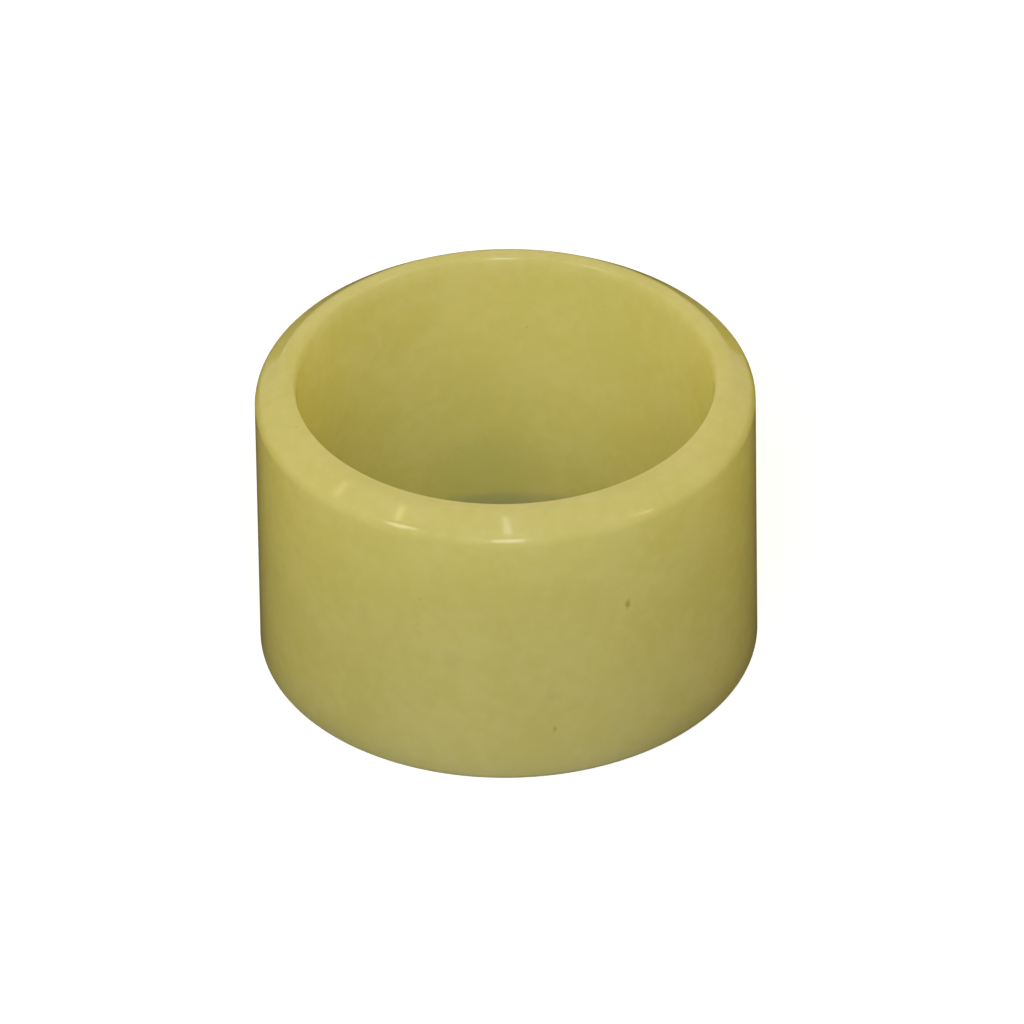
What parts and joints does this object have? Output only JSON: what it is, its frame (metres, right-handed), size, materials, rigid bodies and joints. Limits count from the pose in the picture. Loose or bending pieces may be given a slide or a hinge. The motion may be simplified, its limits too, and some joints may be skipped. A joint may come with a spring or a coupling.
{
  "type": "sleeve bushing",
  "caption": "Plain cylindrical plastic sleeve with a smooth through bore and a rounded lead-in chamfer; pressed into a housing, it carries a turning shaft or pivot pin.",
  "frame": {"origin": "centre of the plain end face, on the bore axis", "axes": "+Z along the bore axis, from the plain end to the chamfered lead-in end"},
  "size_m": [0.048, 0.048, 0.03],
  "materials": {
    "nylon": "natural cast polyamide yellowed with age, waxy satin surface with faint cutting marks"
  },
  "bodies": {
    "root": {"bushing": "nylon"}
  },
  "joints": []
}
